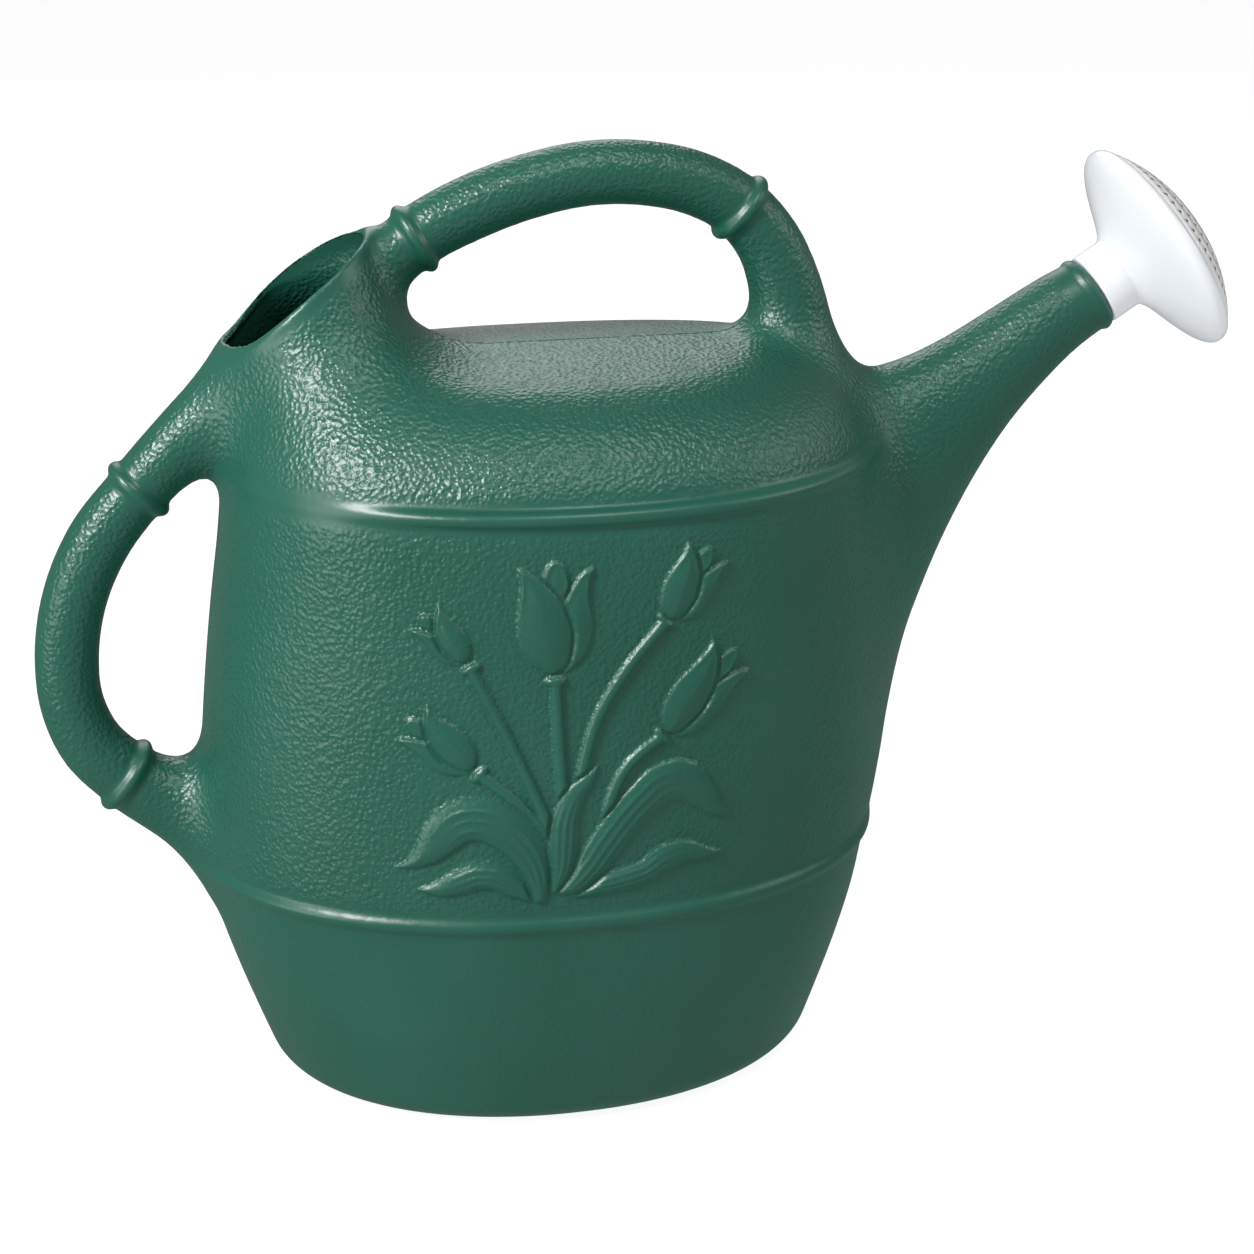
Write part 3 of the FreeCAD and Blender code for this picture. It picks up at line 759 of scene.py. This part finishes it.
def open_loops(triangles):
    """Closed runs of the edges that only one triangle uses."""
    forward = np.concatenate([triangles[:, [0, 1]], triangles[:, [1, 2]], triangles[:, [2, 0]]])
    keys = {(a, b) for a, b in forward.tolist()}
    following = {a: b for a, b in keys if (b, a) not in keys}
    loops = []
    while following:
        start, step = next(iter(following.items()))
        loop = [start]
        while step != start and step in following:
            loop.append(step)
            step = following[step]
        for vertex in loop:
            following.pop(vertex, None)
        loops.append(loop)
    return loops


def sealed(outer, cavity):
    """Outside and inside joined into one skin with a fine strip around each opening."""
    vertices = np.concatenate([outer[0], cavity[0]])
    inner_triangles = cavity[1] + len(outer[0])
    strips = []
    inner_loops = open_loops(inner_triangles)
    for loop in open_loops(outer[1]):
        centre = vertices[loop].mean(axis=0)
        other = min(inner_loops, key=lambda l: np.linalg.norm(vertices[l].mean(axis=0) - centre))
        strips.append(strip_between(vertices, loop, other[::-1]))
    return vertices, np.concatenate([outer[1], inner_triangles] + strips)


def strip_between(vertices, first, second):
    """Triangles between two loops that run side by side in the same direction."""
    points = vertices[second]
    start = int(np.argmin(np.linalg.norm(points - vertices[first[0]], axis=1)))
    second = second[start:] + second[:start]
    i = j = 0
    strip = []
    while i < len(first) or j < len(second):
        a, b = first[i % len(first)], second[j % len(second)]
        next_a, next_b = first[(i + 1) % len(first)], second[(j + 1) % len(second)]
        step_first = np.linalg.norm(vertices[next_a] - vertices[b])
        step_second = np.linalg.norm(vertices[next_b] - vertices[a])
        if j >= len(second) or (i < len(first) and step_first <= step_second):
            strip.append((next_a, a, b))
            i += 1
        else:
            strip.append((a, b, next_b))
            j += 1
    return np.array(strip)


# ---- scene building -------------------------------------------------------------------
def add_mesh(name, vertices, faces, body, material):
    """A smooth-shaded piece from points in millimetres, riding on a CAD body."""
    mesh = bpy.data.meshes.new(name)
    faces = faces.tolist() if isinstance(faces, np.ndarray) else faces
    mesh.from_pydata((np.asarray(vertices) * MM).tolist(), [], faces)
    mesh.validate()
    mesh.shade_smooth()
    mesh.materials.append(material)
    piece = bpy.data.objects.new(name, mesh)
    bpy.context.collection.objects.link(piece)
    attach(piece, body)
    return piece


def new_material(name):
    """A material with its shader and the few nodes that every plastic here needs."""
    material = bpy.data.materials.new(name)
    material.use_nodes = True
    nodes = material.node_tree.nodes
    shader = nodes["Principled BSDF"]
    place = nodes.new("ShaderNodeTexCoord")
    return material, nodes, material.node_tree.links, shader, place.outputs["Object"]


def noise(nodes, links, place, scale, detail):
    texture = nodes.new("ShaderNodeTexNoise")
    texture.inputs["Scale"].default_value = scale
    texture.inputs["Detail"].default_value = detail
    links.new(place, texture.inputs["Vector"])
    return texture.outputs["Fac"]


def math_node(nodes, links, operation, first, second):
    node = nodes.new("ShaderNodeMath")
    node.operation = operation
    for socket, value in zip(node.inputs, (first, second)):
        if isinstance(value, (int, float)):
            socket.default_value = value
        else:
            links.new(value, socket)
    return node.outputs[0]


def spread(nodes, links, value, low, high, to_low, to_high):
    node = nodes.new("ShaderNodeMapRange")
    for name, number in (("From Min", low), ("From Max", high),
                         ("To Min", to_low), ("To Max", to_high)):
        node.inputs[name].default_value = number
    links.new(value, node.inputs["Value"])
    return node.outputs["Result"]


def colour_mix(nodes, links, factor, first, second):
    """Blend of two colours; each is a colour or another node's output."""
    node = nodes.new("ShaderNodeMix")
    node.data_type = "RGBA"
    links.new(factor, node.inputs["Factor"])
    colour_sockets = [socket for socket in node.inputs if socket.type == "RGBA"]
    for socket, value in zip(colour_sockets, (first, second)):
        if isinstance(value, tuple):
            socket.default_value = (*value, 1.0)
        else:
            links.new(value, socket)
    return [socket for socket in node.outputs if socket.type == "RGBA"][0]


def leather_grain(nodes, links, place):
    """Height of a moulded leather grain: close cells about 1.6 mm apart, slightly swayed."""
    waves = nodes.new("ShaderNodeTexNoise")
    waves.inputs["Scale"].default_value = 260.0
    links.new(place, waves.inputs["Vector"])
    sway = nodes.new("ShaderNodeVectorMath")
    sway.operation = "SCALE"
    sway.inputs["Scale"].default_value = 0.0016
    links.new(waves.outputs["Color"], sway.inputs[0])
    swayed = nodes.new("ShaderNodeVectorMath")
    swayed.operation = "ADD"
    links.new(place, swayed.inputs[0])
    links.new(sway.outputs["Vector"], swayed.inputs[1])
    cells = nodes.new("ShaderNodeTexVoronoi")
    cells.feature = "SMOOTH_F1"
    cells.inputs["Scale"].default_value = 620.0
    cells.inputs["Smoothness"].default_value = 0.6
    links.new(swayed.outputs["Vector"], cells.inputs["Vector"])
    return math_node(nodes, links, "MULTIPLY", cells.outputs["Distance"], 0.55)


def add_bump(nodes, links, shader, height, strength, distance):
    bump = nodes.new("ShaderNodeBump")
    bump.inputs["Strength"].default_value = strength
    bump.inputs["Distance"].default_value = distance
    links.new(height, bump.inputs["Height"])
    links.new(bump.outputs["Normal"], shader.inputs["Normal"])


def can_green():
    """Deep green polyethylene with a leathery moulded grain and a waxy sheen."""
    material, nodes, links, shader, place = new_material("can_green_hdpe")
    mask = nodes.new("ShaderNodeAttribute")
    mask.attribute_name = "grain"
    grain = math_node(nodes, links, "MULTIPLY", leather_grain(nodes, links, place),
                      mask.outputs["Fac"])
    fine = noise(nodes, links, place, 2400.0, 2.0)
    grain = math_node(nodes, links, "ADD", grain,
                      math_node(nodes, links, "MULTIPLY", fine, 0.05))
    add_bump(nodes, links, shader, grain, 1.0, 0.0008)
    cloud = noise(nodes, links, place, 14.0, 3.0)
    green = colour_mix(nodes, links, spread(nodes, links, cloud, 0.3, 0.7, 0.0, 1.0),
                       (0.0078, 0.074, 0.048), (0.0105, 0.088, 0.059))
    split = nodes.new("ShaderNodeSeparateXYZ")
    links.new(place, split.inputs["Vector"])
    off_centre = math_node(nodes, links, "ABSOLUTE", split.outputs["Y"], 0.0)
    # Painted shade: the green is darkened in a thin line along the parting seam at y = 0,
    # standing in for the shade in its groove.
    seam_shade = spread(nodes, links, off_centre, 0.00018, 0.00045, 0.75, 0.0)
    green = colour_mix(nodes, links, seam_shade, green, (0.004, 0.030, 0.020))
    links.new(green, shader.inputs["Base Color"])
    wear = noise(nodes, links, place, 30.0, 4.0)
    links.new(spread(nodes, links, wear, 0.3, 0.7, 0.31, 0.39), shader.inputs["Roughness"])
    shader.inputs["Specular IOR Level"].default_value = 0.6
    shader.inputs["IOR"].default_value = 1.50
    return material


def rose_white(name, tint, gloss):
    """Glossy white plastic with the faint ripple of a thin moulding."""
    material, nodes, links, shader, place = new_material(name)
    ripple = noise(nodes, links, place, 45.0, 2.0)
    add_bump(nodes, links, shader, ripple, 0.25, 0.0004)
    cloud = noise(nodes, links, place, 60.0, 3.0)
    tinted = colour_mix(nodes, links, cloud, tuple(0.95 * c for c in tint), tint)
    links.new(tinted, shader.inputs["Base Color"])
    links.new(spread(nodes, links, cloud, 0.3, 0.7, gloss, gloss + 0.06),
              shader.inputs["Roughness"])
    shader.inputs["Subsurface Weight"].default_value = 0.08
    shader.inputs["Subsurface Radius"].default_value = (0.004, 0.004, 0.004)
    return material


def hole_shade():
    """The same plastic inside the spray holes, dark with the shade of the hollow behind."""
    material, nodes, links, shader, place = new_material("spray_hole_shade")
    cloud = noise(nodes, links, place, 400.0, 2.0)
    shade = colour_mix(nodes, links, cloud, (0.030, 0.026, 0.022), (0.050, 0.044, 0.038))
    links.new(shade, shader.inputs["Base Color"])
    shader.inputs["Roughness"].default_value = 0.7
    return material


def set_grain(piece, vertices):
    """How strong the grain is at each point: the beads, rims and tulips are smoother."""
    x, y, z = vertices.T
    grain = smoothstep(3.0, 8.0, trim_distance(x, y, z))
    relief = relief_height(x, z) * on_relief(x, y, z)
    grain = grain * (1.0 - 0.72 * smoothstep(0.15, 0.8, relief))
    lower_bead = WALL_BEAD_LEVELS[0]
    grain = grain * (0.35 + 0.65 * smoothstep(lower_bead - 6.0, lower_bead + 4.0, z))
    grain = np.maximum(grain, 0.05)
    values = piece.data.attributes.new("grain", "FLOAT", "POINT")
    values.data.foreach_set("value", grain.astype(np.float32))


def add_can():
    vertices, triangles = sealed(outer_mesh(), cavity_mesh())
    can = add_mesh("green_can", vertices, triangles, "can", can_green())
    set_grain(can, vertices)
    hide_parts("tank_base", "tank_wall", "tank_shoulder", "top_handle", "back_handle",
                "spout", "tulips_near", "tulips_far")
    return can


# ---- the rose -------------------------------------------------------------------------
NECK_RADIUS = 14.0
NECK_LENGTH = 11.0
ROSE_RADIUS = 42.55
FLARE_END = 28.4
ROSE_LENGTH = 32.0
SEAM_RADIUS = 40.2
FACE_RADIUS = 39.5
FACE_EDGE = 0.8
FACE_RISE = 11.6
FACE_ROUNDNESS = 2.4                            # power of the dome's fall towards its edge
FACE_WALL = 1.5
HOLE_RADIUS = 0.72
HOLE_PITCH = 4.2
HOLE_RINGS = (0.0, 6.2, 12.4, 18.6, 24.8, 31.0, 36.6)
HOLE_SIDES = 12
FACE_SIDES = 160
GUIDE_RINGS = (3.1, 9.3, 15.5, 21.7, 27.9, 33.8, 38.3, 38.9, 39.25)    # mesh only


def on_axis(distance, across, y):
    """Points given along and across the rose's axis, as (x, y, z)."""
    distance, across, y = np.broadcast_arrays(distance, across, y)
    x = SPOUT_END[0] + distance * AXIS[0] - across * AXIS[1]
    z = SPOUT_END[1] + distance * AXIS[1] + across * AXIS[0]
    return np.stack([x, y, z], axis=-1)


def bell_radius(distance):
    t = smoothstep(NECK_LENGTH, FLARE_END, distance)
    return NECK_RADIUS + (ROSE_RADIUS - NECK_RADIUS) * t


def turned(profile, segments=144):
    """Closed ring of quads from a closed (distance, radius) profile."""
    turn = np.arange(segments) * 2.0 * math.pi / segments
    profile = np.asarray(profile, float)
    distance, radius = profile[:, :1], profile[:, 1:]
    points = on_axis(distance, radius * np.cos(turn), radius * np.sin(turn)).reshape(-1, 3)
    faces = []
    count = len(profile)
    for i in range(count):
        k = (i + 1) % count
        for j in range(segments):
            m = (j + 1) % segments
            faces.append((i * segments + j, i * segments + m, k * segments + m,
                          k * segments + j))
    return points, faces


def add_rose_bell(material):
    """Spigot, neck, trumpet flare and curled rim, with a hollow inside."""
    last = FLARE_END + 0.6
    profile = [(-21.0, 9.9), (-21.8, 10.3), (-22.0, 10.9), (-21.4, 11.45), (-20.0, 11.5),
               (0.1, 11.5), (0.35, 11.8), (0.35, 13.5), (0.7, 13.95)]
    profile += [(d, bell_radius(d)) for d in np.linspace(1.6, last, 44)]
    for turn in np.radians(np.arange(15.0, 91.0, 15.0)):
        profile.append((last + (ROSE_LENGTH - 0.25 - last) * math.sin(turn),
                        SEAM_RADIUS + (ROSE_RADIUS - SEAM_RADIUS) * math.cos(turn)))
    profile += [(ROSE_LENGTH - 0.35, FACE_RADIUS + 0.35), (ROSE_LENGTH - 0.9, FACE_RADIUS),
                (ROSE_LENGTH - 0.9, 38.4)]
    for i, d in enumerate(np.linspace(last - 0.6, 2.4, 36)):
        profile.append((d, bell_radius(d - 2.0) - 1.8 * (2.3 - 1.3 * i / 35.0)))
    profile += [(0.8, 10.4), (-0.5, 9.9)]
    points, faces = turned(profile[::-1])
    bell = add_mesh("rose_bell_shell", points, faces, "rose", material)
    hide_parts("rose_bell")
    return bell


def face_height(radius):
    """Outside of the domed face above the seam, with a rounded edge."""
    dome = FACE_EDGE + FACE_RISE * (1.0 - (radius / FACE_RADIUS) ** FACE_ROUNDNESS)
    edge = np.clip((radius - FACE_RADIUS + 1.2) / 1.2, 0.0, 1.0)
    return dome - 0.9 * (1.0 - np.sqrt(1.0 - edge * edge))


def circle(centre_u, centre_v, radius, count):
    angles = np.arange(count) * 2.0 * math.pi / count
    return [(centre_u + radius * math.cos(a), centre_v + radius * math.sin(a)) for a in angles]


def hole_centres():
    """Centres of the spray holes, ring by ring, evenly spaced round each."""
    centres = []
    for ring in HOLE_RINGS:
        count = max(1, round(2.0 * math.pi * ring / HOLE_PITCH))
        centres += circle(0.0, 0.0, ring, count)
    return centres


def pierced_disc(holes):
    """Flat points and faces of a disc with round holes in it."""
    points = circle(0.0, 0.0, FACE_RADIUS, FACE_SIDES)
    edges = [(i, (i + 1) % FACE_SIDES) for i in range(FACE_SIDES)]
    for u, v in holes:
        start = len(points)
        points += circle(u, v, HOLE_RADIUS, HOLE_SIDES)
        edges += [(start + i, start + (i + 1) % HOLE_SIDES) for i in range(HOLE_SIDES)]
    for ring in GUIDE_RINGS:
        points += circle(0.0, 0.0, ring, max(8, round(ring * 3.0)))
    flat, _, faces, _, _, _ = delaunay_2d_cdt([Vector(p) for p in points], edges, [], 0, 1e-6)
    flat = np.array([(p.x, p.y) for p in flat])
    middle = np.array([flat[list(f)].mean(axis=0) for f in faces])
    gap = np.min(np.hypot(middle[:, :1] - np.array(holes)[:, 0],
                          middle[:, 1:] - np.array(holes)[:, 1]), axis=1)
    return flat, [tuple(f) for f, g in zip(faces, gap) if g > HOLE_RADIUS * 0.97]


def add_rose_face(material):
    """Domed face, really drilled with rings of fine spray holes."""
    flat, solid = pierced_disc(hole_centres())
    radius = np.hypot(flat[:, 0], flat[:, 1])
    height = face_height(np.minimum(radius, FACE_RADIUS))
    inner_height = np.maximum(height - FACE_WALL, -0.7)
    outside = on_axis(ROSE_LENGTH + height, flat[:, 0], flat[:, 1])
    inside = on_axis(ROSE_LENGTH + inner_height, flat[:, 0], flat[:, 1])
    count = len(flat)
    faces = list(solid)
    faces += [tuple(count + i for i in reversed(f)) for f in solid]
    used = {(a, b): True for f in solid for a, b in zip(f, f[1:] + f[:1])}
    walls = [(a, b) for a, b in used if (b, a) not in used]
    first_wall = len(faces)
    faces += [(b, a, count + a, count + b) for a, b in walls]
    face = add_mesh("rose_face_disc", np.concatenate([outside, inside]), faces, "rose",
                    material)
    face.data.materials.append(hole_shade())
    for i, (a, _) in enumerate(walls):
        if radius[a] < FACE_RADIUS - 0.5:
            face.data.polygons[first_wall + i].material_index = 1
    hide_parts("rose_face")
    return face


# ---- floor, light and camera ------------------------------------------------------------
def add_floor():
    size = 12.0
    mesh = bpy.data.meshes.new("studio_floor")
    mesh.from_pydata([(-size, -size, 0), (size, -size, 0), (size, size, 0), (-size, size, 0)],
                     [], [(0, 1, 2, 3)])
    floor = bpy.data.objects.new("studio_floor", mesh)
    bpy.context.collection.objects.link(floor)
    material = bpy.data.materials.new("studio_white")
    material.use_nodes = True
    shader = material.node_tree.nodes["Principled BSDF"]
    shader.inputs["Base Color"].default_value = (0.25, 0.25, 0.25, 1.0)
    shader.inputs["Roughness"].default_value = 1.0
    shader.inputs["Specular IOR Level"].default_value = 0.0
    shader.inputs["Emission Color"].default_value = (1.0, 1.0, 1.0, 1.0)
    shader.inputs["Emission Strength"].default_value = 0.92
    mesh.materials.append(material)
    floor.visible_glossy = False


def add_area(name, place, size, power, target=(0.0, 0.0, 0.15)):
    light = bpy.data.lights.new(name, "AREA")
    light.shape = "DISK"
    light.size = size
    light.energy = power
    lamp = bpy.data.objects.new(name, light)
    lamp.location = place
    lamp.visible_camera = False
    lamp.rotation_euler = (Vector(target) - Vector(place)).to_track_quat("-Z", "Y").to_euler()
    bpy.context.collection.objects.link(lamp)


def add_lights():
    add_area("key_softbox", (-1.20, -0.75, 1.30), 0.50, 34.0)
    add_area("top_softbox", (0.30, -0.90, 1.80), 0.55, 8.0)
    add_area("left_card", (-1.50, -0.60, 0.30), 0.80, 6.0)
    add_area("right_card", (1.60, -0.50, 1.10), 0.80, 5.0)
    add_area("back_softbox", (0.10, 1.90, 1.50), 1.60, 13.0)
    world = bpy.data.worlds.new("studio_world")
    world.use_nodes = True
    background = world.node_tree.nodes["Background"]
    background.inputs["Color"].default_value = (1.0, 1.0, 1.0, 1.0)
    background.inputs["Strength"].default_value = 0.20
    bpy.context.scene.world = world
    bpy.context.scene.view_settings.view_transform = "Standard"


def add_camera():
    """Camera where the photograph was taken from: low, in front, a little to the left."""
    data = bpy.data.cameras.new("photo_camera")
    data.sensor_width = 36.0
    data.lens = 75.5
    data.clip_start = 0.05
    camera = bpy.data.objects.new("photo_camera", data)
    right = Vector((0.97534, -0.22072, 0.00090)).normalized()
    forward = Vector((0.20887, 0.92167, -0.32695)).normalized()
    up = right.cross(forward).normalized()
    turn = Matrix((right, up, -forward)).transposed().to_4x4()
    camera.matrix_world = Matrix.Translation((-0.1714, -0.9125, 0.4864)) @ turn
    bpy.context.collection.objects.link(camera)
    bpy.context.scene.camera = camera


def main():
    add_can()
    add_rose_bell(rose_white("rose_shell_plastic", (0.72, 0.745, 0.775), 0.16))
    add_rose_face(rose_white("rose_face_plastic", (0.74, 0.74, 0.73), 0.20))
    add_floor()
    add_lights()
    add_camera()


main()
